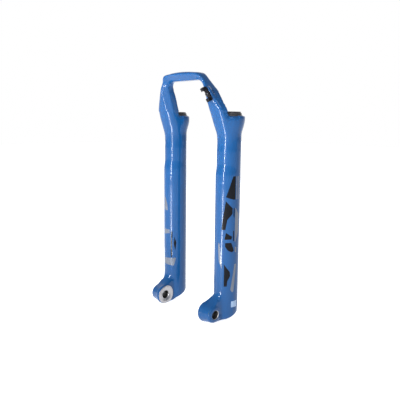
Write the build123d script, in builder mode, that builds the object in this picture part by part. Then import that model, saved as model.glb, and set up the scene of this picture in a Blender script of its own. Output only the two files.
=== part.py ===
"""Lower leg assembly of an air-sprung trail fork for 29 inch wheels.

The origin is on the axle axis, midway between the dropouts. +X is the bike's left, the disc side,
+Y is the rear and +Z runs up along the legs. Millimetres.
"""

import os
from math import cos, radians, sin

from build123d import *

# Legs
leg_spacing = 142.0  # between the two stanchion axes
leg_radius = 21.0
oval_side = 21.4  # the lower legs are oval: half their width
oval_front = 23.3  # and how far they reach forward of the stanchion axis
oval_back = 21.3
axle_offset = 38.0  # the stanchion axes stand this far behind the axle
rim_height = 345.0  # top of the legs above the axle
collar_radius = 26.0
collar_height = 8.0
collar_taper = 27.0
rim_chamfer = 1.2
oval_top = rim_height - 99.0  # the oval section ends here and fades out over oval_fade
oval_fade = 16.0
foot_height = -8.5  # underside of the legs, on the stanchion axis
foot_slope = 22.5  # degrees the underside rises to the rear
foot_rounding = 4.0
cut_margin = 2.0  # cutting tools reach this far past what they cut

# Stanchion guide
stanchion_diameter = 35.0
bushing_clearance = 0.05
bushing_wall = 1.2
bushing_length = 20.0
bushing_slit = 0.8
bushing_spread = 112.0  # top of the upper bushing to top of the lower one
relief_gap = 0.45  # the cast bore is this much wider than the bushings between their seats
spring_bore_radius = 18.3  # below the lower bushing
well_radius = 13.5  # narrower foot of the bore
well_height = 92.0
well_taper = 12.0
floor_height = 12.0  # inside bottom of the legs

# Wiper, foam ring, foot bolt
seal_seat_radius = 22.5
seal_seat_depth = 9.0
lip_height = 6.5  # the lips stand this far above the rim
lip_base_radius = 21.2
lip_top_radius = 18.6
lip_clearance = 0.1
lip_relief = 1.3
lip_chamfer = 0.8
scraper_height = 3.0  # inner oil lip, above the foot of the wiper
scraper_width = 0.8
scraper_slope = 1.5
spring_ring_offset = 1.0
spring_wire_radius = 0.6
core_cover = 1.0
core_wall = 1.9
core_sheet = 0.8
foam_height = 10.0
foam_wall = 3.2
foam_gap = 3.0
foot_bolt_radius = 4.25
foot_pocket_radius = 10.0
foot_pocket_height = 2.0  # the bolt's washer seat above the axle

# Arch
arch_lean = 19.8  # degrees forward
arch_front = 5.5  # front face of the arch at the rim, from the axle
arch_depth = 25.0
arch_crown = rim_height + 74.0
arch_shoulder = rim_height + 70.4
arch_underside = rim_height + 58.6
arch_rim_outer = 86.0
arch_rim_inner = 50.0
arch_shoulder_outer = 46.0
arch_shoulder_inner = 45.0
arch_root = rim_height - 53.0
arch_root_outer = 86.5
arch_root_inner = 55.5
arch_knee_height = rim_height + 6.0  # outside, the limbs turn towards the legs here
arch_flare_height = rim_height - 22.0  # inside, they flare out below here
arch_crown_radius = 260.0
arch_shoulder_radius = 9.0
arch_knee_radius = 45.0
arch_flare_radius = 150.0
arch_corner_radius = 12.5
arch_rounding = 7.0
arch_bevel = 10.0  # wide bevel round the inside of the arch's front
wiper_gap = 1.5  # clear ring cut into the arch round each wiper
pocket_wall = 3.6
pocket_depth = 13.0
pocket_foot = rim_height + 43.0
rib_width = 2.5
rib_pitch = 17.0
rib_count = 7

# Dropouts
hub_width = 110.0
axle_radius = 7.5
axle_chamfer = 0.8
hub_seat_radius = 17.5
hub_seat_proud = 0.8
lug_radius = 18.4
lug_flange = 5.0
boss_radius = 15.4
boss_rounding = 4.5
dropout_width = 164.4  # outer face to outer face
lug_taper = 4.0
lug_edge_roundings = (1.5, 2.0, 3.0)

# Webs between the dropouts and the legs, as sections on the hub side and outside
web_overlap = 2.0  # the webs reach this far behind the stanchion axes
web_inset = 0.4  # the hub-side section stands back from the hub seat
web_sole_reach = 18.0  # the undersides turn down this far in front of the stanchion axes
web_inner_top = 30.0
web_inner_knee = (14.0, 27.0)  # in front of the stanchion axis, and height
web_inner_shoulder = (-6.0, 17.3)
web_inner_nose = -18.3
web_inner_sole = (-18.2, -17.2, -9.0)  # heights below the axle, at the turn and at the leg
web_outer_top = 72.0
web_outer_knee = (17.6, 70.0)
web_outer_sweep = (13.5, 30.0)
web_outer_shoulder = (-7.0, 12.8)
web_outer_nose = -14.6
web_outer_sole = (-14.8, -15.5, -8.5)
web_sole_front = 1.0

# Disc brake post mount, on the left leg
post_spacing = 74.0
post_low = 4.0
post_x = 57.0
post_face = 62.0
post_radius = 8.0
post_hole_radius = 3.0
post_hole_depth = 11.0
post_web = 9.0
post_root = 8.0  # the bosses start this far behind the stanchion axis
post_valley = 17.0  # depth of the web between them, behind the stanchion axis

# Brake hose guide
guide_x = 65.0  # on the front of the left limb
guide_z = rim_height + 35.0
guide_standoff = 0.4  # the casting's pad lifts the guide this far off the arch
guide_tilt = 23.0  # degrees the hose line leans inwards
guide_length = 25.0
guide_width = 8.0
guide_base = 2.8
hose_radius = 2.6
hook_wall = 1.6
hook_length = 5.5
hook_rise = 0.4  # gap between the hose and the base plate
hook_mouth = 4.0
hook_inset = 0.2
hook_stem = 5.2
guide_edge = 1.0
guide_pad = 7.0  # the casting's pad under the guide reaches this deep
screw_gap = 0.1
screw_radius = 2.0
screw_head_radius = 3.4
screw_head_height = 2.0
screw_depth = 9.0
screw_socket_radius = 1.4
screw_socket_depth = 1.5

# Foil decals on the oval part of the legs
decal_gap = 0.05
decal_thickness = 0.25
decal_left_facing = -30.0  # degrees from the bike's left, towards the front
decal_right_facing = -90.0

# Worked-out sizes
leg_x = leg_spacing / 2
leg_y = axle_offset
stanchion_radius = stanchion_diameter / 2
bushing_inner = stanchion_radius + bushing_clearance
bushing_outer = bushing_inner + bushing_wall
relief_radius = bushing_outer + relief_gap
foam_inner = stanchion_radius + bushing_clearance
foam_outer = foam_inner + foam_wall
seal_seat = rim_height - seal_seat_depth
foam_seat = seal_seat - foam_height
upper_bushing_top = foam_seat - foam_gap
upper_bushing_foot = upper_bushing_top - bushing_length
lower_bushing_top = upper_bushing_top - bushing_spread
lower_bushing_foot = lower_bushing_top - bushing_length
hub_face = hub_width / 2
dropout_face = dropout_width / 2
lean = radians(arch_lean)

os.makedirs("parts", exist_ok=True)


def leg_axis(side):
    return Axis((side * leg_x, leg_y, 0), (0, 0, 1))


def leg_section(side):
    """Upright plane through a leg's axis: local X is the radius, local Y is the height."""
    return Plane(origin=(side * leg_x, leg_y, 0), x_dir=(1, 0, 0), z_dir=(0, -1, 0))


def axle_section(side):
    """Level plane through the axle: local X runs outwards along the axle, local Y is the radius."""
    return Plane(origin=(0, 0, 0), x_dir=(side, 0, 0), z_dir=(0, 0, -side))


def write(part, name):
    part.label = name
    export_step(part, "parts/" + name + ".step")


# Arch: one leaning bow, drawn as seen from the front and carried straight back.
arch_plane = Plane(
    origin=(0, arch_front, rim_height), x_dir=(1, 0, 0), z_dir=(0, -cos(lean), -sin(lean))
)


def on_arch(x, z):
    """Point of the arch's leaning front face, from its place across and its height."""
    return (x, (z - rim_height) / cos(lean))


def inside_arch(edge):
    """True for the edges that face the wheel."""
    middle = edge.position_at(0.5)
    slant = (arch_rim_outer - arch_shoulder_outer) / (arch_shoulder - rim_height)
    across = arch_shoulder_inner + (arch_shoulder - middle.Z) * slant / 2
    return abs(middle.X) < across and middle.Z < (arch_underside + arch_shoulder) / 2


def front_face(bow):
    """The bow's front face, one of its two largest."""
    return bow.faces().sort_by(SortBy.AREA)[-2:].sort_by(Axis.Y)[0]


half_bow = [
    (on_arch(arch_shoulder_outer, arch_shoulder), arch_shoulder_radius),
    (on_arch(arch_rim_outer, arch_knee_height), arch_knee_radius),
    (on_arch(arch_root_outer, arch_root), 0),
    (on_arch(arch_root_inner, arch_root), 0),
    (on_arch(arch_rim_inner, arch_flare_height), arch_flare_radius),
    (on_arch(arch_shoulder_inner, arch_underside), arch_corner_radius),
]
bow_points = [on_arch(0, arch_crown)] + [p for p, r in half_bow]
bow_radii = [arch_crown_radius] + [r for p, r in half_bow]
bow_points += [(-p[0], p[1]) for p, r in reversed(half_bow)]
bow_radii += [r for p, r in reversed(half_bow)]

with BuildPart() as arch:
    with BuildSketch(arch_plane):
        with BuildLine():
            FilletPolyline(*bow_points, radius=bow_radii, close=True)
        make_face()
    extrude(amount=arch_depth, dir=(0, 1, 0))
    rim_edges = front_face(arch).edges().filter_by(lambda e: e.center().Z > arch_root + 1)
    fillet(rim_edges.filter_by(lambda e: not inside_arch(e)), radius=arch_rounding)
    rim_edges = front_face(arch).edges().filter_by(lambda e: e.center().Z > arch_root + 1)
    chamfer(rim_edges.filter_by(inside_arch), length=arch_bevel, length2=arch_bevel)

# One leg blank: collar and tube turned about the stanchion axis, oval below, underside sloping.
foot_plane = Plane(
    origin=(leg_x, leg_y, foot_height),
    x_dir=(1, 0, 0),
    z_dir=(0, -sin(radians(foot_slope)), cos(radians(foot_slope))),
)
oval_centre = leg_y - (oval_front - oval_back) / 2
oval_depth = (oval_front + oval_back) / 2
tube_foot = oval_top - leg_radius  # the round tube starts inside the oval one
fade_radius = leg_radius - 0.3  # and the fade ends just inside the round one
foot_reach = 2 * oval_front  # the blank is this much too long before its underside is cut
taper_foot = rim_height - collar_height - collar_taper

with BuildPart() as leg:
    with BuildSketch(leg_section(1)):
        with BuildLine():
            Line((0, tube_foot), (leg_radius, tube_foot))
            Line((leg_radius, tube_foot), (leg_radius, taper_foot))
            Spline(
                (leg_radius, taper_foot),
                (collar_radius, rim_height - collar_height),
                tangents=[(0, 1), (0, 1)],
            )
            Line((collar_radius, rim_height - collar_height), (collar_radius, rim_height - rim_chamfer))
            Line((collar_radius, rim_height - rim_chamfer), (collar_radius - rim_chamfer, rim_height))
            Line((collar_radius - rim_chamfer, rim_height), (0, rim_height))
            Line((0, rim_height), (0, tube_foot))
        make_face()
    revolve(axis=leg_axis(1))
    with BuildSketch(Plane.XY.offset(foot_height - foot_reach)):
        with Locations((leg_x, oval_centre)):
            Ellipse(oval_side, oval_depth)
    extrude(amount=oval_top - foot_height + foot_reach)
    with BuildSketch(Plane.XY.offset(oval_top)):
        with Locations((leg_x, oval_centre)):
            Ellipse(oval_side, oval_depth)
    with BuildSketch(Plane.XY.offset(oval_top + oval_fade)):
        with Locations((leg_x, leg_y)):
            Circle(fade_radius)
    loft()
    split(bisect_by=foot_plane, keep=Keep.TOP)
    foot_edge = leg.faces().sort_by(Axis.Z)[0].edges()
    fillet(foot_edge, radius=foot_rounding)

# One dropout: a lug that carries the hub seat and the axle, and the web that joins it to its leg.
seat_face = hub_face + hub_seat_proud

with BuildPart() as lug:
    with BuildSketch(axle_section(1)):
        with BuildLine():
            FilletPolyline(
                (seat_face, 0),
                (seat_face, lug_radius),
                (seat_face + lug_flange, lug_radius),
                (seat_face + lug_flange + lug_taper, boss_radius),
                (dropout_face, boss_radius),
                (dropout_face, 0),
                radius=[0, *lug_edge_roundings, boss_rounding, 0],
                close=True,
            )
        make_face()
    revolve(axis=Axis.X)
    with BuildSketch(Plane.YZ.offset(hub_face)):
        Circle(hub_seat_radius)
    extrude(amount=hub_seat_proud + 1)

web_inner_x = seat_face + web_inset
web_outer_x = dropout_face - boss_rounding / 2
web_back = leg_y + web_overlap
sole_y = leg_y - web_sole_reach
inner_knee = (leg_y - web_inner_knee[0], web_inner_knee[1])
outer_knee = (leg_y - web_outer_knee[0], web_outer_knee[1])

with BuildPart() as web:
    with BuildSketch(Plane.YZ.offset(web_inner_x)):
        with BuildLine():
            Line((web_back, web_inner_top), inner_knee)
            Line(inner_knee, web_inner_shoulder)
            ThreePointArc(
                web_inner_shoulder, (web_inner_nose, 0), (web_sole_front, web_inner_sole[0])
            )
            Polyline(
                (web_sole_front, web_inner_sole[0]),
                (sole_y, web_inner_sole[1]),
                (web_back, web_inner_sole[2]),
                (web_back, web_inner_top),
            )
        make_face()
    with BuildSketch(Plane.YZ.offset(web_outer_x)):
        with BuildLine():
            Line((web_back, web_outer_top), outer_knee)
            Spline(
                outer_knee, web_outer_sweep, web_outer_shoulder, tangents=[(0, -1), (-1, -0.5)]
            )
            ThreePointArc(
                web_outer_shoulder, (web_outer_nose, 0), (web_sole_front, web_outer_sole[0])
            )
            Polyline(
                (web_sole_front, web_outer_sole[0]),
                (sole_y, web_outer_sole[1]),
                (web_back, web_outer_sole[2]),
                (web_back, web_outer_top),
            )
        make_face()
    loft()

# Disc brake post mount: two bosses on a web behind the left leg.
post_heights = (post_low, post_low + post_spacing)
post_root_y = leg_y + post_root
post_back_y = post_face - post_radius / 2
valley_y = leg_y + post_valley


def post_plane(height):
    return Plane(origin=(post_x, post_face, height), x_dir=(1, 0, 0), z_dir=(0, 1, 0))


with BuildPart() as posts:
    for height in post_heights:
        with BuildSketch(post_plane(height)):
            Circle(post_radius)
        extrude(amount=-(post_face - post_root_y))
    with BuildSketch(Plane.YZ.offset(post_x - post_web / 2)):
        Polygon(
            (post_root_y, post_heights[0] - post_radius / 2),
            (post_back_y, post_heights[0]),
            (post_back_y, post_heights[0] + post_radius * 1.5),
            (valley_y, post_heights[0] + post_radius * 3),
            (valley_y, post_heights[1] - post_radius * 3),
            (post_back_y, post_heights[1] - post_radius),
            (post_back_y, post_heights[1] + post_radius * 0.7),
            (post_root_y, post_heights[1] + post_radius * 4),
            align=None,
        )
    extrude(amount=post_web)

# Pockets in the back of the arch, with ribs left between them.
pocket_plane = Plane(
    origin=(0, arch_front + arch_depth - pocket_depth, rim_height),
    x_dir=(1, 0, 0),
    z_dir=(0, -cos(lean), -sin(lean)),
)
with BuildPart() as pockets:
    with BuildSketch(pocket_plane):
        with BuildLine():
            FilletPolyline(*bow_points, radius=bow_radii, close=True)
        make_face()
        offset(amount=-pocket_wall, mode=Mode.REPLACE)
        with Locations(on_arch(0, pocket_foot - leg_spacing / 2)):
            Rectangle(leg_spacing * 2, leg_spacing / cos(lean), mode=Mode.SUBTRACT)
        with GridLocations(rib_pitch, 0, rib_count, 1):
            Rectangle(rib_width, leg_spacing * 2, mode=Mode.SUBTRACT)
    extrude(amount=pocket_depth + cut_margin, dir=(0, 1, 0))

# Brake hose guide: a base plate with two snap hooks, on a pad on the left limb. Local X of its
# plane runs along the hose, local Z stands off the arch.
up_the_arch = Vector(0, -sin(lean), cos(lean))
off_the_arch = Vector(0, -cos(lean), -sin(lean))
hose_line = up_the_arch * cos(radians(guide_tilt)) - Vector(1, 0, 0) * sin(radians(guide_tilt))
guide_foot = Vector(guide_x, arch_front, rim_height) + up_the_arch * (
    (guide_z - rim_height) / cos(lean)
)
guide_plane = Plane(
    origin=guide_foot + off_the_arch * guide_standoff,
    x_dir=hose_line,
    z_dir=off_the_arch,
)
hose_height = guide_base + hose_radius + hook_rise
hook_outer = hose_radius + hook_wall
hook_offset = (guide_length - hook_length) / 2 - hook_inset


def hook_plane(end):
    return Plane(
        origin=guide_plane.from_local_coords((end * hook_offset, 0, 0)),
        x_dir=guide_plane.y_dir,
        z_dir=guide_plane.x_dir,
    )


with BuildPart() as guide:
    with BuildSketch(guide_plane):
        SlotOverall(guide_length, guide_width)
    extrude(amount=guide_base)
    top_edges = guide.faces().sort_by(Axis(guide_plane.origin, guide_plane.z_dir))[-1].edges()
    fillet(top_edges, radius=guide_edge)
    for end in (-1, 1):
        with BuildSketch(hook_plane(end)):
            with Locations((0, hose_height)):
                Circle(hook_outer)
            with Locations((0, hose_height / 2)):
                Rectangle(hook_stem, hose_height)
            with Locations((0, hose_height)):
                Circle(hose_radius, mode=Mode.SUBTRACT)
            with Locations((end * hook_outer, hose_height)):
                Rectangle(2 * hook_outer, hook_mouth, mode=Mode.SUBTRACT)
        extrude(amount=hook_length / 2, both=True)
    with BuildSketch(guide_plane.offset(-cut_margin)):
        Circle(screw_radius + screw_gap)
    extrude(amount=guide_base + 2 * cut_margin, mode=Mode.SUBTRACT)

with BuildPart() as screw:
    with BuildSketch(guide_plane.offset(guide_base)):
        Circle(screw_head_radius)
    extrude(amount=screw_head_height)
    head_edge = screw.faces().sort_by(Axis(guide_plane.origin, guide_plane.z_dir))[-1].edges()
    fillet(head_edge, radius=screw_head_height / 2)
    with BuildSketch(guide_plane.offset(guide_base)):
        Circle(screw_radius)
    extrude(amount=-(guide_base + screw_depth))
    with BuildSketch(guide_plane.offset(guide_base + screw_head_height)):
        RegularPolygon(screw_socket_radius, 6)
    extrude(amount=-screw_socket_depth, mode=Mode.SUBTRACT)

# The casting: both halves, the arch and the post mount in one piece, then every bore.
bore_profile = [
    (0, floor_height),
    (well_radius, floor_height),
    (well_radius, well_height),
    (spring_bore_radius, well_height + well_taper),
    (spring_bore_radius, lower_bushing_foot),
    (bushing_outer, lower_bushing_foot),
    (bushing_outer, lower_bushing_top),
    (relief_radius, lower_bushing_top),
    (relief_radius, upper_bushing_foot),
    (bushing_outer, upper_bushing_foot),
    (bushing_outer, foam_seat),
    (foam_outer, foam_seat),
    (foam_outer, seal_seat),
    (seal_seat_radius, seal_seat),
    (seal_seat_radius, rim_height),
    (seal_seat_radius + wiper_gap, rim_height),
    (seal_seat_radius + wiper_gap, arch_crown),
    (0, arch_crown),
]
axle_mouth = axle_radius + axle_chamfer + cut_margin
axle_profile = [
    (seat_face - cut_margin, 0),
    (seat_face - cut_margin, axle_mouth),
    (seat_face + axle_chamfer, axle_radius),
    (dropout_face - axle_chamfer, axle_radius),
    (dropout_face + cut_margin, axle_mouth),
    (dropout_face + cut_margin, 0),
]

with BuildPart() as casting:
    add(leg.part)
    add(web.part)
    add(lug.part)
    mirror(about=Plane.YZ)
    add(arch.part)
    add(posts.part)
    with BuildSketch(guide_plane):
        SlotOverall(guide_length - guide_edge, guide_width - guide_edge)
    extrude(amount=-guide_pad)
    for side in (-1, 1):
        with BuildSketch(leg_section(side)):
            Polygon(*bore_profile, align=None)
        revolve(axis=leg_axis(side), mode=Mode.SUBTRACT)
        with BuildSketch(Plane.XY.offset(floor_height)):
            with Locations((side * leg_x, leg_y)):
                Circle(foot_bolt_radius)
        extrude(amount=-(floor_height - foot_height + foot_reach), mode=Mode.SUBTRACT)
        with BuildSketch(Plane.XY.offset(foot_pocket_height)):
            with Locations((side * leg_x, leg_y)):
                Circle(foot_pocket_radius)
        extrude(amount=-foot_reach, mode=Mode.SUBTRACT)
        with BuildSketch(axle_section(side)):
            Polygon(*axle_profile, align=None)
        revolve(axis=Axis.X, mode=Mode.SUBTRACT)
    for height in post_heights:
        with BuildSketch(post_plane(height)):
            Circle(post_hole_radius)
        extrude(amount=-post_hole_depth, mode=Mode.SUBTRACT)
    with BuildSketch(guide_plane):
        Circle(screw_radius + screw_gap)
    extrude(amount=-(screw_depth + cut_margin), mode=Mode.SUBTRACT)
    add(pockets.part, mode=Mode.SUBTRACT)
write(casting.part, "lower_leg_casting")
write(guide.part, "brake_hose_guide")
write(screw.part, "hose_guide_screw")

# Slider bushings: rolled strip with a slit at the back, pressed into their seats.
bushing_feet = {"upper": upper_bushing_foot, "lower": lower_bushing_foot}
sides = {"left": 1, "right": -1}

for side_name, side in sides.items():
    for place, foot in bushing_feet.items():
        with BuildPart() as bushing:
            with BuildSketch(Plane.XY.offset(foot)):
                with Locations((side * leg_x, leg_y)):
                    Circle(bushing_outer)
                    Circle(bushing_inner, mode=Mode.SUBTRACT)
                with Locations((side * leg_x, leg_y + bushing_outer)):
                    Rectangle(bushing_slit, 4 * bushing_wall, mode=Mode.SUBTRACT)
            extrude(amount=bushing_length)
        write(bushing.part, place + "_bushing_" + side_name)

# Foam ring and wiper, one set for each leg.
lip_inner = stanchion_radius + lip_clearance
spring_ring_radius = lip_top_radius + spring_ring_offset
spring_ring_height = rim_height + lip_height / 2
lip_top = rim_height + lip_height
scraper_top = seal_seat + scraper_height
core_outer = seal_seat_radius - core_cover
core_inner = core_outer - core_wall
core_foot = seal_seat + core_cover
core_top = rim_height - 2 * core_cover

core_profile = [
    (core_inner, core_foot),
    (core_outer, core_foot),
    (core_outer, core_top),
    (core_outer - core_sheet, core_top),
    (core_outer - core_sheet, core_foot + core_sheet),
    (core_inner, core_foot + core_sheet),
]
wiper_profile = [
    (lip_inner + lip_relief, seal_seat),
    (seal_seat_radius, seal_seat),
    (seal_seat_radius, rim_height),
    (lip_base_radius, rim_height),
    (lip_base_radius, rim_height + lip_chamfer),
    (lip_top_radius + lip_chamfer, lip_top - lip_chamfer),
    (lip_top_radius, lip_top),
    (lip_inner + lip_chamfer / 2, lip_top),
    (lip_inner, lip_top - lip_chamfer),
    (lip_inner + lip_relief, rim_height + lip_chamfer),
    (lip_inner + lip_relief, scraper_top + scraper_slope),
    (lip_inner, scraper_top),
    (lip_inner, scraper_top - scraper_width),
]

for side_name, side in sides.items():
    with BuildPart() as foam:
        with BuildSketch(Plane.XY.offset(foam_seat)):
            with Locations((side * leg_x, leg_y)):
                Circle(foam_outer)
                Circle(foam_inner, mode=Mode.SUBTRACT)
        extrude(amount=foam_height)
    write(foam.part, "foam_ring_" + side_name)

    with BuildPart() as core:
        with BuildSketch(leg_section(side)):
            Polygon(*core_profile, align=None)
        revolve(axis=leg_axis(side))
    write(core.part, "wiper_core_" + side_name)

    with BuildPart() as garter:
        with BuildSketch(leg_section(side)):
            with Locations((spring_ring_radius, spring_ring_height)):
                Circle(spring_wire_radius)
        revolve(axis=leg_axis(side))
    write(garter.part, "garter_spring_" + side_name)

    with BuildPart() as wiper:
        with BuildSketch(leg_section(side)):
            Polygon(*wiper_profile, align=None)
        revolve(axis=leg_axis(side))
        add(core.part, mode=Mode.SUBTRACT)
        add(garter.part, mode=Mode.SUBTRACT)
    write(wiper.part, "wiper_seal_" + side_name)

# Foil decals: flat outlines carried through a thin sleeve round the oval. Each point is its place
# across, seen square on from the side the decal faces, and its height above the axle.
left_black_outlines = [
    [(3, 243), (-9, 207), (4, 203), (8, 203), (8, 243)],
    [(-9, 200), (3, 188), (3, 178), (-6, 168), (-9, 150), (-15, 150), (-13, 172)],
    [(5, 188), (7, 188), (7, 171), (5, 174)],
    [(-8, 145), (3, 138), (2, 133), (-10, 133)],
    [(5, 149), (7, 147), (7, 129), (5, 131)],
    [(-9, 127), (2, 127), (7, 113), (4, 110), (-4, 113), (-9, 120)],
    [(-10, 88), (-5, 81), (0, 75), (1, 67), (-4, 58), (-5, 48), (-10, 48)],
]
left_silver_outlines = [
    [(9.5, 243), (11.5, 243), (11.5, 203), (9.5, 203)],
    [(13, 243), (15, 243), (15, 203), (13, 203)],
    [(9.5, 188), (16, 176), (16, 146), (9.5, 128), (8.5, 128), (8.5, 188)],
    [(9, 120), (12, 118), (12, 109), (9, 110)],
    [(13, 88), (9, 88), (2, 42), (5, 37), (8, 38)],
    [(-14, 88), (-14, 80), (-18, 92), (-19, 112), (-19, 126), (-17, 124)],
]
left_label_outlines = [[(4, 9), (15, 9), (15, 20), (4, 20)]]
right_black_outlines = [
    [(11, 123), (13, 121), (12, 70), (10, 72)],
    [(16, 112), (18, 100), (17, 85), (15, 98)],
]
right_silver_outlines = [
    [(-6, 195), (2, 178), (4, 164), (-6, 164)],
    [(-7, 127), (8, 126), (8, 119), (-7, 116)],
    [(-7, 68), (18, 70), (15, 54), (-7, 56)],
]
decals = [
    ("left_leg_decal_black", 1, decal_left_facing, left_black_outlines),
    ("left_leg_decal_silver", 1, decal_left_facing, left_silver_outlines),
    ("left_leg_label", 1, decal_left_facing, left_label_outlines),
    ("right_leg_decal_black", -1, decal_right_facing, right_black_outlines),
    ("right_leg_decal_silver", -1, decal_right_facing, right_silver_outlines),
]


def decal_plane(side, facing):
    """Upright plane through the oval's axis: local X runs across, local Y is the height."""
    across = (-sin(radians(facing)), cos(radians(facing)), 0)
    outwards = (cos(radians(facing)), sin(radians(facing)), 0)
    return Plane(origin=(side * leg_x, oval_centre, 0), x_dir=across, z_dir=outwards)


for name, side, facing, outlines in decals:
    with BuildPart() as sleeve:
        with BuildSketch(Plane.XY):
            with Locations((side * leg_x, oval_centre)):
                Ellipse(
                    oval_side + decal_gap + decal_thickness,
                    oval_depth + decal_gap + decal_thickness,
                )
                Ellipse(oval_side + decal_gap, oval_depth + decal_gap, mode=Mode.SUBTRACT)
        extrude(amount=rim_height)
    with BuildPart() as decal:
        for outline in outlines:
            with BuildSketch(decal_plane(side, facing)):
                Polygon(*outline, align=None)
            extrude(amount=2 * leg_radius)
        add(sleeve.part, mode=Mode.INTERSECT)
    write(decal.part, name)
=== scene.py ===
from math import cos, pi, radians, sin

import bmesh
import bpy
from mathutils import Matrix, Vector
from mathutils.bvhtree import BVHTree


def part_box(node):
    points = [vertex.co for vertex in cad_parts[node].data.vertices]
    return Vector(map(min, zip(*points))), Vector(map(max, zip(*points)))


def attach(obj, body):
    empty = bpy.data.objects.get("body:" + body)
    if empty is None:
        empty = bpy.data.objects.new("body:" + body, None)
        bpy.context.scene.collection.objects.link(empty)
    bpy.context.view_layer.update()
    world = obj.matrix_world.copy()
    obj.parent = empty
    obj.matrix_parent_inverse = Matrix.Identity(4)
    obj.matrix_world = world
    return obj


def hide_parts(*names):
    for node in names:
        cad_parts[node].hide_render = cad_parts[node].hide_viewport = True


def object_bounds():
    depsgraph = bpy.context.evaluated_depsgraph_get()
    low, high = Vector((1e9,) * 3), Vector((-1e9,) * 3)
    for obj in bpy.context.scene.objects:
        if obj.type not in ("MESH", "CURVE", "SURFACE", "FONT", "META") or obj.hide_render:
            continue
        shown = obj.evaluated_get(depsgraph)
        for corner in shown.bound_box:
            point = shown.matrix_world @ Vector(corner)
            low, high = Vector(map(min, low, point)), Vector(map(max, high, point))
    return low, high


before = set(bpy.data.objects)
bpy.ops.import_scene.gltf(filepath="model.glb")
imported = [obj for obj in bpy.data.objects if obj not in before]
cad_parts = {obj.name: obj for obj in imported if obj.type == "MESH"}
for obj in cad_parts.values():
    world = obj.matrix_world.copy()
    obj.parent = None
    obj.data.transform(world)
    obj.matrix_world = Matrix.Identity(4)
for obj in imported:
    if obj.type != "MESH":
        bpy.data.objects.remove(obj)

bl_info = {
    "name": "Fork Lower Legs",
    "version": (1, 0, 0),
    "blender": (4, 5, 0),
    "location": "3D View > Sidebar > Fork",
    "description": "Finishes the lower leg assembly of a trail fork: casting, seals, guide, decals",
    "category": "Object",
}

CAD_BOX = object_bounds()
MM = 0.001


def node_middle(node):
    low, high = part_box(node)
    return (Vector(low) + Vector(high)) / 2


def node_size(node):
    low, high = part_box(node)
    return Vector(high) - Vector(low)


# Places and radii that the pieces share, taken from the CAD parts
LEG_X = node_middle("foam_ring_left").x
LEG_Y = node_middle("foam_ring_left").y
SEAL_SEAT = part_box("wiper_seal_left")[0][2]
LIP_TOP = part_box("wiper_seal_left")[1][2]
SEAL_RADIUS = node_size("wiper_seal_left").x / 2
BUSHING_RADIUS = node_size("upper_bushing_left").x / 2
FOAM_RADIUS = node_size("foam_ring_left").x / 2
FOAM_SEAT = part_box("foam_ring_left")[0][2]

# Places on the casting that no node gives
HUB_FACE = 55.0 * MM  # bare seat of the hub, from the middle
LUG_FACE = 55.8 * MM  # painted face of the lug round it
DROPOUT_FACE = 82.2 * MM
OVAL_CENTRE = LEG_Y - 1.0 * MM
POST_HEIGHTS = (4 * MM, 78 * MM)  # the two bosses of the brake mount
ROUND_ZONE = (0.268, 0.284)  # heights between which the legs are plain round tubes
OVAL_ZONE = (0.095, 0.238)  # and plain oval ones
POST_TOP = 0.145  # above the blend of the brake posts into the left leg
ARCH_ROOT = (0.286, 0.352)  # heights between which the arch grows out of the legs
SHOULDER_FOOT = 0.386  # the arch's shoulders round off above this
LIMB_FOOT = -12 * MM  # from the rims, the lower end of the limbs' bow
LIMB_SPAN = 79 * MM
FLARE_SPAN = 48 * MM  # height over which the limbs' flare fades out above the rims
LIP_RADIUS = 17.6 * MM  # where the wipers touch the stanchions
RIM_CLEARANCE = 1.5 * MM  # clear ring round each wiper
ARCH_REACH = 75 * MM  # above the rims
FOIL_BITE = 0.02 * MM  # the decals reach this far into the paint
WELD = 0.002 * MM  # points closer than this are one point


# Settings

class CastingSettings(bpy.types.PropertyGroup):
    grain: bpy.props.FloatProperty(
        name="Grain", description="Size of the facets that the casting's skin is built from",
        default=1.35 * MM, min=0.8 * MM, unit="LENGTH")
    edge_passes: bpy.props.IntProperty(
        name="Edge softening", description="How often every edge of the casting is eased",
        default=7, min=0, max=40)
    blend_passes: bpy.props.IntProperty(
        name="Blend softening", description="How often the joints of arch, webs and legs are eased",
        default=60, min=0, max=200)
    shoulder_passes: bpy.props.IntProperty(
        name="Shoulder softening", description="How often the arch's shoulders are eased",
        default=4, min=0, max=40)
    limb_flare: bpy.props.FloatProperty(
        name="Limb flare", description="How far the limbs widen round the wipers at the rim",
        default=6.0 * MM, unit="LENGTH")
    limb_bow: bpy.props.FloatProperty(
        name="Limb bow", description="How far the outer edges of the arch's limbs curve out",
        default=2.0 * MM, unit="LENGTH")
    rim_height: bpy.props.FloatProperty(
        name="Rim height", description="Top of the legs above the axle",
        default=345.0 * MM, unit="LENGTH")
    leg_radius: bpy.props.FloatProperty(
        name="Leg radius", description="Round part of the legs",
        default=21.0 * MM, unit="LENGTH")
    oval_side: bpy.props.FloatProperty(
        name="Oval half width", description="Half the width of the oval part of the legs",
        default=21.4 * MM, unit="LENGTH")
    oval_depth: bpy.props.FloatProperty(
        name="Oval half depth", description="Half the fore and aft size of the oval part",
        default=22.3 * MM, unit="LENGTH")
    seat_radius: bpy.props.FloatProperty(
        name="Hub seat radius", description="Bare machined disc that the hub sits against",
        default=17.5 * MM, unit="LENGTH")
    axle_radius: bpy.props.FloatProperty(
        name="Axle bore radius", description="Bore of the dropouts",
        default=7.5 * MM, unit="LENGTH")


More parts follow.
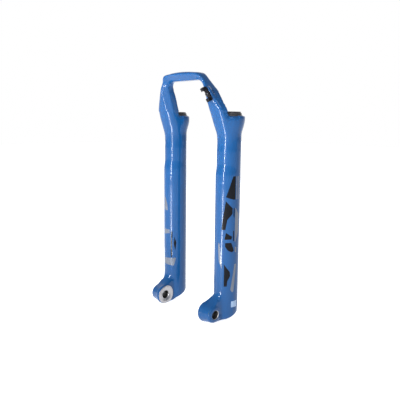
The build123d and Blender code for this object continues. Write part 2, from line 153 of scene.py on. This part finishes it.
class PaintSettings(bpy.types.PropertyGroup):
    blue: bpy.props.FloatVectorProperty(
        name="Blue", description="Colour of the paint", subtype="COLOR", size=3,
        default=(0.003, 0.057, 0.182), min=0, max=1)
    deep_blue: bpy.props.FloatVectorProperty(
        name="Deep blue", description="Colour where the paint lies thicker", subtype="COLOR",
        size=3, default=(0.0024, 0.050, 0.163), min=0, max=1)
    metal: bpy.props.FloatVectorProperty(
        name="Bare metal", description="Colour of the machined faces", subtype="COLOR",
        size=3, default=(0.40, 0.39, 0.40), min=0, max=1)


class SealSettings(bpy.types.PropertyGroup):
    rubber: bpy.props.FloatVectorProperty(
        name="Rubber", description="Colour of the wipers", subtype="COLOR", size=3,
        default=(0.012, 0.012, 0.014), min=0, max=1)
    steps: bpy.props.IntProperty(
        name="Turning steps", description="Facets round each ring", default=128, min=32, max=256)


class DecalSettings(bpy.types.PropertyGroup):
    thickness: bpy.props.FloatProperty(
        name="Foil thickness", description="How far the decals stand proud of the paint",
        default=0.12 * MM, unit="LENGTH")
    black: bpy.props.FloatVectorProperty(
        name="Black foil", description="Colour of the dark decals", subtype="COLOR", size=3,
        default=(0.002, 0.003, 0.006), min=0, max=1)
    silver: bpy.props.FloatVectorProperty(
        name="Silver foil", description="Colour of the grey decals", subtype="COLOR", size=3,
        default=(0.13, 0.15, 0.19), min=0, max=1)


class StageSettings(bpy.types.PropertyGroup):
    lens: bpy.props.FloatProperty(
        name="Lens", description="Focal length of the camera in millimetres", default=43.58)
    azimuth: bpy.props.FloatProperty(
        name="Azimuth", description="Direction of the camera round the object",
        default=radians(46.87), subtype="ANGLE")
    pitch: bpy.props.FloatProperty(
        name="Pitch", description="How far the camera looks down",
        default=radians(9.276), subtype="ANGLE")
    roll: bpy.props.FloatProperty(
        name="Roll", description="Turn of the camera about its own axis",
        default=radians(0.581), subtype="ANGLE")
    camera_place: bpy.props.FloatVectorProperty(
        name="Camera place", description="Where the camera stands", subtype="TRANSLATION",
        size=3, default=(0.6493, -0.5710, 0.3354))


def settings(name):
    return getattr(bpy.context.scene, name)


# Materials

class Finish:
    """A material under construction: its shader and its Object coordinates."""

    def __init__(self, name, color, roughness, metallic=0.0):
        self.material = bpy.data.materials.new(name)
        self.material.use_nodes = True
        self.tree = self.material.node_tree
        self.shader = self.tree.nodes["Principled BSDF"]
        self.set("Base Color", (*color, 1.0))
        self.set("Roughness", roughness)
        self.set("Metallic", metallic)
        self.place = self.tree.nodes.new("ShaderNodeTexCoord").outputs["Object"]
        self.normal = None

    def set(self, socket, value):
        self.shader.inputs[socket].default_value = value

    def link(self, a, b):
        self.tree.links.new(a, b)

    def noise(self, scale, detail=3.0):
        node = self.tree.nodes.new("ShaderNodeTexNoise")
        node.inputs["Scale"].default_value = scale
        node.inputs["Detail"].default_value = detail
        self.link(self.place, node.inputs["Vector"])
        return node.outputs["Fac"]

    def rings(self, scale, direction):
        node = self.tree.nodes.new("ShaderNodeTexWave")
        node.wave_type = "RINGS"
        node.rings_direction = direction
        node.inputs["Scale"].default_value = scale
        node.inputs["Distortion"].default_value = 0.4
        node.inputs["Detail"].default_value = 2.0
        self.link(self.place, node.inputs["Vector"])
        return node.outputs["Fac"]

    def ramp(self, value, low, high, low_at=0.3, high_at=0.7):
        """Colours from low to high as value goes from low_at to high_at."""
        node = self.tree.nodes.new("ShaderNodeValToRGB")
        node.color_ramp.elements[0].position = low_at
        node.color_ramp.elements[0].color = (*low, 1.0)
        node.color_ramp.elements[1].position = high_at
        node.color_ramp.elements[1].color = (*high, 1.0)
        self.link(value, node.inputs["Fac"])
        return node.outputs["Color"]

    def color(self, value, low, high, low_at=0.3, high_at=0.7):
        self.link(self.ramp(value, low, high, low_at, high_at), self.shader.inputs["Base Color"])

    def roughness(self, value, low, high):
        node = self.tree.nodes.new("ShaderNodeMapRange")
        node.inputs["To Min"].default_value = low
        node.inputs["To Max"].default_value = high
        self.link(value, node.inputs["Value"])
        self.link(node.outputs["Result"], self.shader.inputs["Roughness"])

    def bump(self, value, height, strength=1.0):
        """Relief of the given height in metres, on top of any earlier one."""
        node = self.tree.nodes.new("ShaderNodeBump")
        node.inputs["Distance"].default_value = height
        node.inputs["Strength"].default_value = strength
        self.link(value, node.inputs["Height"])
        if self.normal is not None:
            self.link(self.normal, node.inputs["Normal"])
        self.normal = node.outputs["Normal"]
        self.link(self.normal, self.shader.inputs["Normal"])


def blue_paint():
    paint = settings("fork_paint")
    finish = Finish("blue_paint", paint.blue, 0.34)
    finish.color(finish.noise(9.0, 2.0), paint.deep_blue, paint.blue)
    finish.set("Specular IOR Level", 0.1)
    finish.set("Coat Weight", 0.45)
    finish.set("Coat Roughness", 0.03)
    finish.bump(finish.noise(420.0, 2.0), 0.01 * MM, 0.1)
    return finish.material


def machined_metal():
    paint = settings("fork_paint")
    finish = Finish("machined_magnesium", paint.metal, 0.32, 1.0)
    dark = [c * 0.82 for c in paint.metal]
    finish.color(finish.rings(900.0, "X"), dark, paint.metal, 0.2, 0.8)
    finish.roughness(finish.noise(700.0, 3.0), 0.26, 0.42)
    finish.bump(finish.rings(900.0, "X"), 0.03 * MM, 0.35)
    return finish.material


def bore_metal_painted_shade():
    paint = settings("fork_paint")
    # The bores' metal is the bare metal darkened to 0.35: painted shade for the dim insides of the
    # holes, with random tone over it
    dark = [c * 0.35 for c in paint.metal]
    finish = Finish("bored_magnesium_painted_shade", dark, 0.42, 1.0)
    finish.color(finish.noise(160.0, 4.0), [c * 0.8 for c in dark], dark)
    finish.bump(finish.rings(1200.0, "Z"), 0.03 * MM, 0.4)
    return finish.material


def black_rubber():
    rubber = settings("fork_seals").rubber
    finish = Finish("black_rubber", rubber, 0.5)
    finish.color(finish.noise(220.0, 4.0), rubber, [c * 2.2 for c in rubber])
    finish.roughness(finish.noise(500.0, 3.0), 0.42, 0.62)
    finish.bump(finish.noise(1500.0, 3.0), 0.03 * MM, 0.5)
    return finish.material


def moulded_nylon():
    finish = Finish("moulded_nylon", (0.003, 0.004, 0.006), 0.5)
    finish.color(finish.noise(400.0, 3.0), (0.002, 0.002, 0.004), (0.006, 0.006, 0.009))
    finish.roughness(finish.noise(900.0, 2.0), 0.45, 0.60)
    finish.set("Specular IOR Level", 0.12)
    finish.bump(finish.noise(2200.0, 3.0), 0.04 * MM, 0.6)
    return finish.material


def zinc_plate():
    finish = Finish("zinc_plated_steel", (0.42, 0.43, 0.44), 0.3, 1.0)
    finish.color(finish.noise(600.0, 4.0), (0.34, 0.35, 0.36), (0.52, 0.53, 0.54))
    finish.roughness(finish.noise(1200.0, 3.0), 0.22, 0.42)
    finish.bump(finish.noise(2600.0, 2.0), 0.01 * MM, 0.4)
    return finish.material


def black_oxide():
    finish = Finish("black_oxide_steel", (0.05, 0.05, 0.055), 0.4, 1.0)
    finish.color(finish.noise(600.0, 4.0), (0.035, 0.035, 0.04), (0.07, 0.07, 0.075))
    finish.roughness(finish.noise(1200.0, 3.0), 0.32, 0.5)
    finish.bump(finish.noise(2600.0, 2.0), 0.01 * MM, 0.4)
    return finish.material


def rolled_bushing():
    finish = Finish("rolled_bushing", (0.20, 0.17, 0.13), 0.45, 0.6)
    finish.color(finish.noise(900.0, 5.0), (0.13, 0.11, 0.09), (0.26, 0.22, 0.17))
    finish.roughness(finish.noise(1500.0, 2.0), 0.35, 0.6)
    finish.bump(finish.noise(2000.0, 2.0), 0.02 * MM, 0.5)
    return finish.material


def open_foam():
    finish = Finish("open_cell_foam", (0.055, 0.055, 0.058), 0.9)
    finish.color(finish.noise(1400.0, 2.0), (0.012, 0.012, 0.013), (0.09, 0.09, 0.095))
    finish.bump(finish.noise(1400.0, 2.0), 0.25 * MM, 0.9)
    return finish.material


def foil(name, color, roughness, shade, gloss, metallic=0.0):
    """Printed foil: shade darkens its patches, gloss is the weight of its clear coat."""
    finish = Finish(name, color, roughness, metallic)
    finish.color(finish.noise(45.0, 2.0), [c * shade for c in color], color)
    finish.set("Specular IOR Level", 0.08)
    finish.set("Coat Weight", gloss)
    finish.set("Coat Roughness", 0.03)
    finish.bump(finish.noise(420.0, 2.0), 0.01 * MM, 0.1)
    return finish.material


def black_foil():
    return foil("black_foil", settings("fork_decals").black, 0.5, 0.5, 0.12)


def silver_foil():
    return foil("silver_foil", settings("fork_decals").silver, 0.4, 0.82, 0.45, metallic=0.35)


def pale_foil():
    return foil("pale_foil", (0.27, 0.38, 0.55), 0.35, 0.85, 0.45)


def studio_paper():
    finish = Finish("studio_paper", (0.90, 0.90, 0.91), 0.7)
    finish.color(finish.noise(14.0, 3.0), (0.88, 0.88, 0.89), (0.92, 0.92, 0.93))
    finish.set("Specular IOR Level", 0.1)
    finish.set("Emission Color", (1.0, 1.0, 1.0, 1.0))
    finish.set("Emission Strength", 0.78)
    return finish.material


FINISHES = {}


def finish(maker):
    """The material that maker makes, made once."""
    if maker.__name__ not in FINISHES:
        FINISHES[maker.__name__] = maker()
    return FINISHES[maker.__name__]


# Mesh helpers

def object_of(bm, name, *materials):
    mesh = bpy.data.meshes.new(name)
    bm.to_mesh(mesh)
    bm.free()
    obj = bpy.data.objects.new(name, mesh)
    bpy.context.scene.collection.objects.link(obj)
    for material in materials:
        mesh.materials.append(material)
    return obj


def soften(bm, angle=radians(32)):
    """Smooth shading, with the edges sharper than angle kept crisp."""
    for face in bm.faces:
        face.smooth = True
    for edge in bm.edges:
        if edge.is_manifold:
            edge.smooth = edge.calc_face_angle() < angle


def node_mesh(node):
    """A bmesh copy of a CAD node, with its loose triangles joined."""
    bm = bmesh.new()
    bm.from_mesh(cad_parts[node].data)
    bmesh.ops.remove_doubles(bm, verts=bm.verts, dist=WELD)
    return bm


def applied(obj):
    """Puts obj's modifiers into its mesh."""
    graph = bpy.context.evaluated_depsgraph_get()
    mesh = bpy.data.meshes.new_from_object(obj.evaluated_get(graph))
    obj.modifiers.clear()
    old = obj.data
    obj.data = mesh
    bpy.data.meshes.remove(old)


def across_axle(x):
    """Turns a shape that stands on Z so that it lies along X, at x."""
    return Matrix.Translation((x, 0, 0)) @ Matrix.Rotation(pi / 2, 4, "Y")


def rod(bm, radius, depth, matrix, segments=96):
    """A closed round bar about matrix's Z axis, centred on it."""
    bmesh.ops.create_cone(
        bm, cap_ends=True, segments=segments, radius1=radius, radius2=radius, depth=depth,
        matrix=matrix)


def turned(bm, profile, place, steps):
    """Spins a closed profile of (radius, height) points round the Z axis of place."""
    verts = [bm.verts.new(place @ Vector((r, 0, h))) for r, h in profile]
    edges = [bm.edges.new(pair) for pair in zip(verts, verts[1:] + verts[:1])]
    bmesh.ops.spin(
        bm, geom=verts + edges, cent=place.translation, axis=place.col[2].to_3d(),
        angle=2 * pi, steps=steps, use_merge=True)
    bmesh.ops.remove_doubles(bm, verts=bm.verts, dist=WELD)
    bmesh.ops.recalc_face_normals(bm, faces=bm.faces)


def leg_centre(side):
    return Vector((side * LEG_X, LEG_Y, 0))


def leg_axis(side):
    return Matrix.Translation(leg_centre(side))


def post_face(height):
    """The face of a brake post: Z points out of it, to the rear."""
    return Matrix.Translation((57 * MM, 62 * MM, height)) @ Matrix.Rotation(-pi / 2, 4, "X")


# The casting

def plug_bores(bm, size):
    """Closes the bores with bars, so that the skin is built from the outside alone."""
    plugs = (
        (10.5 * MM, -2 * MM, 20 * MM),
        (FOAM_RADIUS - 1 * MM, 6 * MM, FOAM_SEAT + 2 * MM),
        (FOAM_RADIUS + 0.5 * MM, FOAM_SEAT - 2 * MM, SEAL_SEAT + 2 * MM),
        (SEAL_RADIUS + 0.5 * MM, SEAL_SEAT - 1 * MM, size.rim_height),
    )
    for side in (-1, 1):
        for radius, foot, top in plugs:
            place = Matrix.Translation((0, 0, (top + foot) / 2))
            rod(bm, radius, top - foot, leg_axis(side) @ place)
        middle = (LUG_FACE + DROPOUT_FACE) / 2
        length = DROPOUT_FACE - LUG_FACE
        rod(bm, size.axle_radius + 2.5 * MM, length, across_axle(side * middle))
        place = across_axle(side * (HUB_FACE + 2 * MM))
        rod(bm, size.seat_radius, 6 * MM, place)


def junction(co):
    """True where the arch, the webs and the legs grow into each other."""
    x = abs(co.x)
    low, high = ARCH_ROOT
    arch_root = low < co.z < high and co.y < LEG_Y - 3 * MM and x < LEG_X + 30 * MM
    web = -0.004 < co.z < 0.086 and x > LUG_FACE + 4.5 * MM and 8 * MM < co.y < LEG_Y - 6 * MM
    posts = co.x > 0 and co.y > LEG_Y + 9 * MM and -0.012 < co.z < 0.135 and co.y < 0.056
    return arch_root or web or posts


def clamp(value):
    return max(0.0, min(1.0, value))


def ramp_between(value, low, high, soft):
    """1 inside low..high, falling to 0 over soft outside it."""
    inside = min(value - low, high - value)
    return clamp(1 + inside / soft)


def oval_level(co, side, size):
    """1 on the oval section of a leg, more outside it."""
    across = (co.x - side * LEG_X) / size.oval_side
    back = (co.y - OVAL_CENTRE) / size.oval_depth
    return (across * across + back * back) ** 0.5


def lay_on(vert, side, skin, proud):
    """Moves a vertex straight in or out from its leg's axis until it is proud of the skin."""
    middle = Vector((side * LEG_X, OVAL_CENTRE, vert.co.z))
    outwards = (vert.co - middle).normalized()
    hit = skin.ray_cast(middle + outwards * 30 * MM, -outwards, 20 * MM)[0]
    if hit is None:
        raise RuntimeError("a decal reaches past its leg")
    vert.co = hit + outwards * proud


def to_oval(co, side, size, share):
    """Moves a point by that share of its way to the oval, straight out from its middle."""
    grow = 1 + share * (1 / oval_level(co, side, size) - 1)
    co.x = side * LEG_X + (co.x - side * LEG_X) * grow
    co.y = OVAL_CENTRE + (co.y - OVAL_CENTRE) * grow


def true_up(bm, size):
    """Brings the straight stretches of the legs back to their exact round and oval sections."""
    for vert in bm.verts:
        co = vert.co
        side = 1 if co.x > 0 else -1
        across = co.x - side * LEG_X
        round_part = ramp_between(co.z, *ROUND_ZONE, 6 * MM)
        if round_part > 0:
            back = co.y - LEG_Y
            radius = (across * across + back * back) ** 0.5
            if abs(radius - size.leg_radius) < 0.6 * MM:
                grow = 1 + round_part * (size.leg_radius / radius - 1)
                co.x = side * LEG_X + across * grow
                co.y = LEG_Y + back * grow
        oval_part = ramp_between(co.z, *OVAL_ZONE, 7 * MM)
        if side > 0 and co.y > LEG_Y + 6 * MM:
            oval_part *= ramp_between(co.z, POST_TOP, ROUND_ZONE[1], 7 * MM)
        if oval_part > 0 and abs(oval_level(co, side, size) - 1) < 0.03:
            to_oval(co, side, size, oval_part)


def bow_limbs(bm, size):
    """Curves the outer edges of the arch's limbs outwards, and flares them round the wipers."""
    for vert in bm.verts:
        co = vert.co
        rise = co.z - size.rim_height
        along = (rise - LIMB_FOOT) / LIMB_SPAN
        if 0 < along < 1:
            outer = 86 * MM - max(0.0, rise - 6 * MM) * 0.62
            share = clamp((abs(co.x) - outer + 20 * MM) / (20 * MM))
            push = size.limb_bow * sin(pi * along) * share
            if 0.3 * MM < rise < FLARE_SPAN:
                behind = clamp((co.y + rise * 0.36 - 14 * MM) / (10 * MM))
                push += size.limb_flare * (1 - rise / FLARE_SPAN) * share * behind
            co.x += push if co.x > 0 else -push


def exact_normals(mesh, size):
    """Gives the straight stretches of the legs the normals of their true round and oval."""
    normals = [(0.0, 0.0, 0.0)] * len(mesh.vertices)
    for index, vert in enumerate(mesh.vertices):
        co = vert.co
        side = 1 if co.x > 0 else -1
        across = co.x - side * LEG_X
        back = co.y - LEG_Y
        if ROUND_ZONE[0] < co.z < ROUND_ZONE[1]:
            if abs((across * across + back * back) ** 0.5 - size.leg_radius) < 0.05 * MM:
                normals[index] = Vector((across, back, 0)).normalized()
        elif OVAL_ZONE[0] < co.z < OVAL_ZONE[1] and abs(oval_level(co, side, size) - 1) < 0.002:
            normals[index] = Vector((
                across / size.oval_side ** 2, (co.y - OVAL_CENTRE) / size.oval_depth ** 2, 0
            )).normalized()
    mesh.normals_split_custom_set_from_vertices(normals)


def ease(bm, verts, passes):
    """Evens out the skin round verts, more with every pass."""
    for step in range(passes):
        bmesh.ops.smooth_vert(
            bm, verts=verts, factor=0.5, use_axis_x=True, use_axis_y=True, use_axis_z=True)


def cast_skin(size):
    """The outside of the casting as one soft-edged skin, before machining."""
    bm = node_mesh("lower_leg_casting")
    plug_bores(bm, size)
    skin = object_of(bm, "casting")
    remesh = skin.modifiers.new("grain", "REMESH")
    remesh.mode = "VOXEL"
    remesh.voxel_size = size.grain
    applied(skin)
    bm = bmesh.new()
    bm.from_mesh(skin.data)
    ease(bm, bm.verts, size.edge_passes)
    ease(bm, [vert for vert in bm.verts if junction(vert.co)], size.blend_passes)
    for ring in range(5):  # each ring lies inside the one before, so the corner is eased most
        low, inner = SHOULDER_FOOT + ring * 4 * MM, (24 + ring * 2) * MM
        shoulder = [v for v in bm.verts if v.co.z > low and abs(v.co.x) > inner]
        ease(bm, shoulder, size.shoulder_passes)
    true_up(bm, size)
    bow_limbs(bm, size)
    bm.to_mesh(skin.data)
    bm.free()
    return skin


def bore_cutter(size):
    """Everything that is machined out of the legs from the top, as one turned shape a side."""
    bm = bmesh.new()
    rim = size.rim_height
    well, spring_bore, relief = 0.0135, 0.0183, BUSHING_RADIUS + 0.45 * MM
    lower_seat, lower_end, upper_seat = FOAM_SEAT - 0.135, FOAM_SEAT - 0.115, FOAM_SEAT - 0.023
    profile = [
        (0, 0.012), (well, 0.012), (well, 0.092), (spring_bore, 0.104), (spring_bore, lower_seat),
        (BUSHING_RADIUS, lower_seat), (BUSHING_RADIUS, lower_end), (relief, lower_end),
        (relief, upper_seat), (BUSHING_RADIUS, upper_seat), (BUSHING_RADIUS, FOAM_SEAT),
        (FOAM_RADIUS, FOAM_SEAT), (FOAM_RADIUS, SEAL_SEAT), (SEAL_RADIUS, SEAL_SEAT),
        (SEAL_RADIUS, rim - 0.6 * MM), (SEAL_RADIUS + 0.6 * MM, rim),
        (SEAL_RADIUS + RIM_CLEARANCE, rim), (SEAL_RADIUS + RIM_CLEARANCE, rim + ARCH_REACH),
        (0, rim + ARCH_REACH),
    ]
    for side in (-1, 1):
        turned(bm, profile, leg_axis(side), 128)
    # Faces below the rim take the darkened bore metal, whose colour paints the bores' shade; faces
    # above it take blue paint
    for face in bm.faces:
        face.material_index = int(face.calc_center_median().z > rim + 0.1 * MM)
    return object_of(bm, "bore_cutter", finish(bore_metal_painted_shade), finish(blue_paint))


def hole_cutter(size):
    """Foot pockets and bolt holes, and brake mount holes."""
    bm = bmesh.new()
    foot = [
        (0, -0.030), (0.010, -0.030), (0.010, 0.002), (0.00425, 0.002), (0.00425, 0.016),
        (0, 0.016),
    ]
    for side in (-1, 1):
        turned(bm, foot, leg_axis(side), 64)
    post = [
        (0, -0.011), (0.003, -0.011), (0.003, -0.0005), (0.0035, 0), (0.0035, 0.004), (0, 0.004),
    ]
    for height in POST_HEIGHTS:
        turned(bm, post, post_face(height), 48)
    # The holes' walls take the darkened bore metal, a painted shade
    return object_of(bm, "hole_cutter", finish(bore_metal_painted_shade))


def axle_cutter(size):
    """Axle bores with their chamfers and the faced hub seats, turned about the axle."""
    bm = bmesh.new()
    bore = size.axle_radius
    chamfer = 0.9 * MM
    groove = 12.4 * MM
    relief = HUB_FACE + 0.35 * MM
    profile = [
        (0, HUB_FACE - 4 * MM), (size.seat_radius + 4 * MM, HUB_FACE - 4 * MM),
        (size.seat_radius + 4 * MM, HUB_FACE), (groove + 0.5 * MM, HUB_FACE),
        (groove, relief), (bore + chamfer, relief), (bore, relief + chamfer),
        (bore, DROPOUT_FACE - chamfer), (bore + chamfer, DROPOUT_FACE),
        (bore + chamfer + 3 * MM, DROPOUT_FACE + 3 * MM), (0, DROPOUT_FACE + 3 * MM),
    ]
    for side in (-1, 1):
        turned(bm, profile, Matrix.Rotation(side * pi / 2, 4, "Y"), 96)
    # The bore walls take the darkened bore metal, a painted shade; chamfers and hub seats take the
    # bare machined metal
    for face in bm.faces:
        middle = face.calc_center_median()
        if Vector((middle.y, middle.z)).length > bore - 0.1 * MM:
            face.material_index = int(LUG_FACE < abs(middle.x) < DROPOUT_FACE - chamfer)
    return object_of(bm, "axle_cutter", finish(machined_metal), finish(bore_metal_painted_shade))


def face_cutter(size):
    """Takes the brake mount's faces flat."""
    bm = bmesh.new()
    for height in POST_HEIGHTS:
        rod(bm, 12 * MM, 10 * MM, post_face(height) @ Matrix.Translation((0, 0, 4.8 * MM)), 64)
    return object_of(bm, "face_cutter", finish(machined_metal))


class FORK_OT_casting(bpy.types.Operator):
    """Builds the painted casting, with its bores and seats machined bare"""

    bl_idname = "fork.casting"
    bl_label = "Casting"

    def execute(self, context):
        size = settings("fork_casting")
        skin = cast_skin(size)
        skin.data.materials.append(finish(blue_paint))
        for make in (bore_cutter, hole_cutter, axle_cutter, face_cutter):
            cutter = make(size)
            cut = skin.modifiers.new("cut", "BOOLEAN")
            cut.operation = "DIFFERENCE"
            cut.solver = "EXACT"
            cut.material_mode = "TRANSFER"
            cut.object = cutter
            applied(skin)
            bpy.data.objects.remove(cutter)
        bm = bmesh.new()
        bm.from_mesh(skin.data)
        soften(bm, radians(38))
        bm.to_mesh(skin.data)
        bm.free()
        exact_normals(skin.data, size)
        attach(skin, "root")
        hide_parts("lower_leg_casting")
        return {"FINISHED"}


# Seals, bushings and foam

class FORK_OT_seals(bpy.types.Operator):
    """Turns the two wiper seals and finishes what lies under them"""

    bl_idname = "fork.seals"
    bl_label = "Seals and bushings"

    def execute(self, context):
        steps = settings("fork_seals").steps
        rim = settings("fork_casting").rim_height
        lip = LIP_RADIUS
        profile = [
            (lip + 1.3 * MM, SEAL_SEAT), (SEAL_RADIUS, SEAL_SEAT), (SEAL_RADIUS, rim - 0.4 * MM),
            (SEAL_RADIUS - 0.4 * MM, rim + 0.5 * MM), (21.3 * MM, rim + 0.7 * MM),
            (21.0 * MM, rim + 1.4 * MM), (20.5 * MM, rim + 1.9 * MM), (20.4 * MM, rim + 2.5 * MM),
            (20.6 * MM, rim + 3.0 * MM), (20.5 * MM, rim + 3.7 * MM), (19.9 * MM, rim + 4.3 * MM),
            (19.2 * MM, rim + 4.9 * MM), (18.9 * MM, LIP_TOP - 0.5 * MM), (18.6 * MM, LIP_TOP),
            (lip + 0.4 * MM, LIP_TOP), (lip, LIP_TOP - 0.8 * MM),
            (lip + 1.3 * MM, rim + 0.8 * MM), (lip + 1.3 * MM, SEAL_SEAT + 4.5 * MM),
            (lip, SEAL_SEAT + 3 * MM), (lip, SEAL_SEAT + 2.2 * MM),
        ]
        for name, side in (("left", 1), ("right", -1)):
            bm = bmesh.new()
            turned(bm, profile, leg_axis(side), steps)
            soften(bm, radians(50))
            wiper = object_of(bm, "wiper_" + name, finish(black_rubber))
            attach(wiper, "root")
            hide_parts("wiper_seal_" + name)
            for part, maker in (
                    ("wiper_core_", zinc_plate), ("garter_spring_", zinc_plate),
                    ("foam_ring_", open_foam), ("upper_bushing_", rolled_bushing),
                    ("lower_bushing_", rolled_bushing)):
                dress(part + name, finish(maker))
        return {"FINISHED"}


def dress(node, material):
    """Gives a CAD node its material."""
    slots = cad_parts[node].material_slots
    if not slots:
        raise RuntimeError(node + " has no material slot")
    for slot in slots:
        slot.material = material


# Hose guide

class FORK_OT_guide(bpy.types.Operator):
    """Softens the edges of the brake hose guide and its screw"""

    bl_idname = "fork.guide"
    bl_label = "Hose guide"

    def execute(self, context):
        for node, material, slot_name in (
                ("brake_hose_guide", moulded_nylon, "black_plastic"),
                ("hose_guide_screw", black_oxide, "steel")):
            bm = node_mesh(node)
            bmesh.ops.dissolve_limit(
                bm, angle_limit=radians(1), verts=bm.verts, edges=bm.edges)
            soften(bm, radians(30))
            piece = object_of(bm, node + "_finished", finish(material))
            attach(piece, "root")
            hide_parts(node)
        return {"FINISHED"}


# Decals

class FORK_OT_decals(bpy.types.Operator):
    """Lays the foil decals on the oval part of the legs"""

    bl_idname = "fork.decals"
    bl_label = "Decals"

    def execute(self, context):
        size = settings("fork_casting")
        thickness = settings("fork_decals").thickness
        skin = BVHTree.FromObject(
            bpy.data.objects["casting"], bpy.context.evaluated_depsgraph_get())
        for node, maker, slot_name in (
                ("left_leg_decal_black", black_foil, "black_foil"),
                ("left_leg_decal_silver", silver_foil, "silver_foil"),
                ("left_leg_label", pale_foil, "white_foil"),
                ("right_leg_decal_black", black_foil, "black_foil"),
                ("right_leg_decal_silver", silver_foil, "silver_foil")):
            side = 1 if node.startswith("left") else -1
            bm = node_mesh(node)
            outer = bm.verts.layers.float.new("outer")
            middle = 1 + 0.17 * MM / size.oval_depth
            for vert in bm.verts:
                vert[outer] = 1.0 if oval_level(vert.co, side, size) > middle else 0.0
            for step in range(5):
                long_edges = [e for e in bm.edges if e.calc_length() > 2.5 * MM]
                if long_edges:
                    bmesh.ops.subdivide_edges(bm, edges=long_edges, cuts=1)
                    bmesh.ops.triangulate(bm, faces=bm.faces)
            for vert in bm.verts:
                lay_on(vert, side, skin, vert[outer] * (thickness + FOIL_BITE) - FOIL_BITE)
            soften(bm, radians(40))
            decal = object_of(bm, node + "_foil", finish(maker))
            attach(decal, "root")
            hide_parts(node)
        return {"FINISHED"}


# Stage

def area_light(name, place, aim, width, height, power, turn=0.0):
    """A soft light that faces aim, or, without one, straight up at that turn."""
    light = bpy.data.lights.new(name, "AREA")
    light.shape = "RECTANGLE"
    light.size = width
    light.size_y = height
    light.energy = power
    obj = bpy.data.objects.new(name, light)
    obj.location = place
    if aim is None:
        obj.rotation_euler = (pi, 0, turn)
    else:
        obj.rotation_euler = (Vector(aim) - Vector(place)).to_track_quat("-Z", "Y").to_euler()
    obj.visible_camera = False
    bpy.context.scene.collection.objects.link(obj)


BACKDROP_AZIMUTH = radians(136.87)  # the tent is bright round this direction
TENT_COLORS = ((0.50, (0.52, 0.54, 0.57, 1)), (0.80, (1, 1, 1, 1)))
STRIP_AZIMUTH = radians(-82)  # the front lights stand in this direction


def light_tent(tree):
    """A dim tent all round, with a bright backdrop on one side of the object."""
    place = tree.nodes.new("ShaderNodeTexCoord").outputs["Generated"]
    toward = tree.nodes.new("ShaderNodeVectorMath")
    toward.operation = "DOT_PRODUCT"
    toward.inputs[1].default_value = (cos(BACKDROP_AZIMUTH), sin(BACKDROP_AZIMUTH), 0)
    tree.links.new(place, toward.inputs[0])
    ramp = tree.nodes.new("ShaderNodeValToRGB")
    ramp.color_ramp.interpolation = "EASE"
    for element, (position, color) in zip(ramp.color_ramp.elements, TENT_COLORS):
        element.position = position
        element.color = color
    tree.links.new(toward.outputs["Value"], ramp.inputs["Fac"])
    tree.links.new(ramp.outputs["Color"], tree.nodes["Background"].inputs["Color"])


class FORK_OT_stage(bpy.types.Operator):
    """Sets the pale floor, the soft studio lights and the camera"""

    bl_idname = "fork.stage"
    bl_label = "Stage"

    def execute(self, context):
        stage = settings("fork_stage")
        bm = bmesh.new()
        bmesh.ops.create_grid(bm, x_segments=4, y_segments=4, size=6.0)
        bmesh.ops.translate(bm, verts=bm.verts, vec=(0, 0, CAD_BOX[0][2]))
        floor = object_of(bm, "studio_floor", finish(studio_paper))
        world = bpy.data.worlds.new("studio")
        world.use_nodes = True
        light_tent(world.node_tree)
        bpy.context.scene.world = world
        ahead = Vector((cos(STRIP_AZIMUTH), sin(STRIP_AZIMUTH), 0))
        strip_width, near, far, reach = 0.08, 0.30, 1.50, 1.6
        area_light(
            "front_strip", ahead * reach + Vector((0, 0, 0.55)), (0, 0.04, 0.2),
            strip_width, 1.10, 30)
        low = CAD_BOX[0][2] + 2 * MM
        area_light(
            "floor_strip", ahead * (near + far) / 2 + Vector((0, 0, low)), None,
            strip_width, far - near, 12, turn=STRIP_AZIMUTH - pi / 2)
        area_light("key", (1.6, -0.9, 1.5), (0, 0, 0.2), 0.9, 0.9, 8)
        area_light("back_fill", (-0.8, 1.6, 1.0), (0, 0, 0.2), 1.0, 1.0, 4)
        context.scene.view_settings.view_transform = "Standard"
        camera = bpy.data.cameras.new("camera")
        camera.lens = stage.lens
        camera.sensor_width = 36.0
        camera.clip_start = 0.01
        eye = bpy.data.objects.new("camera", camera)
        eye.matrix_world = (
            Matrix.Translation(stage.camera_place)
            @ Matrix.Rotation(stage.azimuth, 4, "Z")
            @ Matrix.Rotation(pi / 2 - stage.pitch, 4, "X")
            @ Matrix.Rotation(stage.roll, 4, "Z"))
        bpy.context.scene.collection.objects.link(eye)
        bpy.context.scene.camera = eye
        return {"FINISHED"}


class FORK_PT_panel(bpy.types.Panel):
    """Lists the steps that finish the lower leg assembly"""

    bl_idname = "FORK_PT_panel"
    bl_label = "Fork lower legs"
    bl_space_type = "VIEW_3D"
    bl_region_type = "UI"
    bl_category = "Fork"

    def draw(self, context):
        for group in ("fork_casting", "fork_paint", "fork_seals", "fork_decals", "fork_stage"):
            box = self.layout.box()
            values = getattr(context.scene, group)
            for name in values.bl_rna.properties.keys():
                if name not in ("rna_type", "name"):
                    box.prop(values, name)
        for step in OPERATORS:
            self.layout.operator(step.bl_idname)


GROUPS = {
    "fork_casting": CastingSettings,
    "fork_paint": PaintSettings,
    "fork_seals": SealSettings,
    "fork_decals": DecalSettings,
    "fork_stage": StageSettings,
}
OPERATORS = (FORK_OT_stage, FORK_OT_casting, FORK_OT_seals, FORK_OT_guide, FORK_OT_decals)


def register():
    for name, group in GROUPS.items():
        bpy.utils.register_class(group)
        setattr(bpy.types.Scene, name, bpy.props.PointerProperty(type=group))
    for step in OPERATORS:
        bpy.utils.register_class(step)
    bpy.utils.register_class(FORK_PT_panel)


def unregister():
    bpy.utils.unregister_class(FORK_PT_panel)
    for step in reversed(OPERATORS):
        bpy.utils.unregister_class(step)
    for name, group in GROUPS.items():
        delattr(bpy.types.Scene, name)
        bpy.utils.unregister_class(group)


def main():
    register()
    bpy.ops.fork.stage()
    bpy.ops.fork.casting()
    bpy.ops.fork.seals()
    bpy.ops.fork.guide()
    bpy.ops.fork.decals()


if __name__ == "__main__":
    main()
